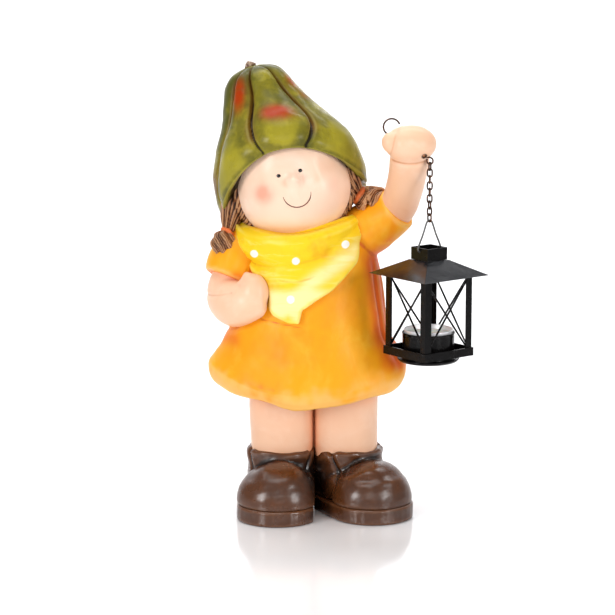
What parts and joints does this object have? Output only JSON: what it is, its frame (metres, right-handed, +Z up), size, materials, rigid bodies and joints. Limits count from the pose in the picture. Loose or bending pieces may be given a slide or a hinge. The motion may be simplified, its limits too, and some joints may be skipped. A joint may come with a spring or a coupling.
{
  "type": "garden gnome",
  "caption": "Standing garden gnome girl with a ribbed pumpkin hat, one hand in her pocket and a tealight lantern on a chain in the raised hand.",
  "frame": {"origin": "centre of the whole box at the height of the boot soles", "axes": "+Z up, the figure faces -Y, and the raised hand with the lantern is on the +X side"},
  "size_m": [0.2176, 0.1656, 0.353],
  "materials": {
    "skin_paint": "satin",
    "hat_green": "satin",
    "stem_brown": "matte",
    "tie_orange": "satin",
    "hair_brown": "satin",
    "scarf_yellow": "satin",
    "dress_orange": "satin",
    "boot_brown": "satin",
    "sole_brown": "satin",
    "black_sheet": "satin",
    "rusty_wire": "satin",
    "bail_wire": "satin",
    "tealight_aluminium": "satin",
    "wax_white": "satin",
    "wick_cotton": "matte"
  },
  "bodies": {
    "figure": {"sole_left": "sole_brown", "sole_right": "sole_brown", "boot_left": "boot_brown", "boot_right": "boot_brown", "leg_left": "skin_paint", "leg_right": "skin_paint", "dress": "dress_orange", "neckerchief": "scarf_yellow", "pocket_arm": "skin_paint", "raised_arm": "skin_paint", "head": "skin_paint", "hair": "hair_brown", "hair_tie_left": "tie_orange", "hair_tie_right": "tie_orange", "pigtail_left": "hair_brown", "pigtail_right": "hair_brown", "hat": "hat_green", "hat_stem": "stem_brown"},
    "hook": {"lantern_hook": "rusty_wire"},
    "bail": {"lantern_bail": "bail_wire"},
    "lantern_frame": {"lantern_collar": "black_sheet", "lantern_roof": "black_sheet", "base_tray": "black_sheet", "corner_post_a": "black_sheet", "corner_post_b": "black_sheet", "corner_post_c": "black_sheet", "corner_post_d": "black_sheet", "cross_wire_1_outer": "black_sheet", "cross_wire_1_inner": "black_sheet", "cross_wire_2_outer": "black_sheet", "cross_wire_2_inner": "black_sheet", "cross_wire_3_outer": "black_sheet", "cross_wire_3_inner": "black_sheet", "cross_wire_4_outer": "black_sheet", "cross_wire_4_inner": "black_sheet"},
    "candle_holder": {"candle_holder": "black_sheet"},
    "tealight": {"tealight_cup": "tealight_aluminium", "tealight_wax": "wax_white", "tealight_wick": "wick_cotton"},
    "link_1": {"chain_link_1": "rusty_wire"},
    "link_2": {"chain_link_2": "rusty_wire"},
    "link_3": {"chain_link_3": "rusty_wire"},
    "link_4": {"chain_link_4": "rusty_wire"},
    "link_5": {"chain_link_5": "rusty_wire"},
    "link_6": {"chain_link_6": "rusty_wire"},
    "link_7": {"chain_link_7": "rusty_wire"},
    "link_8": {"chain_link_8": "rusty_wire"},
    "link_9": {"chain_link_9": "rusty_wire"}
  },
  "joints": [
    {"name": "hook_turn", "type": "hinge", "parent": "figure", "child": "hook", "pos_m": [0.05985, -0.03552, 0.2855], "axis": [-0.8091, 0.3705, 0.4563], "range_deg": [-4, 12]},
    {"name": "link_1_swing", "type": "hinge", "parent": "hook", "child": "link_1", "pos_m": [0.06305, -0.03702, 0.2804], "axis": [-0.9092, 0.4163, 0], "range_deg": [-5, 20]},
    {"name": "link_2_swing", "type": "hinge", "parent": "link_1", "child": "link_2", "pos_m": [0.06305, -0.03702, 0.27565], "axis": [-0.288, -0.9576, 0], "range_deg": [-3, 20]},
    {"name": "link_3_swing", "type": "hinge", "parent": "link_2", "child": "link_3", "pos_m": [0.06305, -0.03702, 0.27075], "axis": [0.988, -0.1543, 0], "range_deg": [-20, 5]},
    {"name": "link_4_swing", "type": "hinge", "parent": "link_3", "child": "link_4", "pos_m": [0.06305, -0.03702, 0.26585], "axis": [0.0177, 0.9998, 0], "range_deg": [-20, 3]},
    {"name": "link_5_swing", "type": "hinge", "parent": "link_4", "child": "link_5", "pos_m": [0.06305, -0.03702, 0.26095], "axis": [-0.9929, -0.1192, 0], "range_deg": [-5, 20]},
    {"name": "link_6_swing", "type": "hinge", "parent": "link_5", "child": "link_6", "pos_m": [0.06305, -0.03702, 0.25605], "axis": [0.2539, -0.9672, 0], "range_deg": [-3, 20]},
    {"name": "link_7_swing", "type": "hinge", "parent": "link_6", "child": "link_7", "pos_m": [0.06305, -0.03702, 0.25115], "axis": [0.9234, 0.3839, 0], "range_deg": [-20, 5]},
    {"name": "link_8_swing", "type": "hinge", "parent": "link_7", "child": "link_8", "pos_m": [0.06305, -0.03702, 0.24625], "axis": [-0.5066, 0.8622, 0], "range_deg": [-20, 3]},
    {"name": "link_9_swing", "type": "hinge", "parent": "link_8", "child": "link_9", "pos_m": [0.06305, -0.03702, 0.24135], "axis": [-0.7848, -0.6198, 0], "range_deg": [-5, 20]},
    {"name": "bail_swing", "type": "hinge", "parent": "link_9", "child": "bail", "pos_m": [0.06305, -0.03702, 0.23645], "axis": [0.6198, -0.7848, 0], "range_deg": [-5, 20]},
    {"name": "lantern_tilt", "type": "hinge", "parent": "bail", "child": "lantern_frame", "pos_m": [0.06305, -0.03702, 0.2144], "axis": [-0.7848, -0.6198, 0], "range_deg": [-8, 30]},
    {"name": "candle_holder_twist", "type": "hinge", "parent": "lantern_frame", "child": "candle_holder", "pos_m": [0.06305, -0.03702, 0.134], "axis": [0, 0, 1], "range_deg": [0, 25]},
    {"name": "tealight_lift", "type": "slide", "parent": "candle_holder", "child": "tealight", "axis": [0, 0, 1], "range_m": [0, 0.012]}
  ]
}
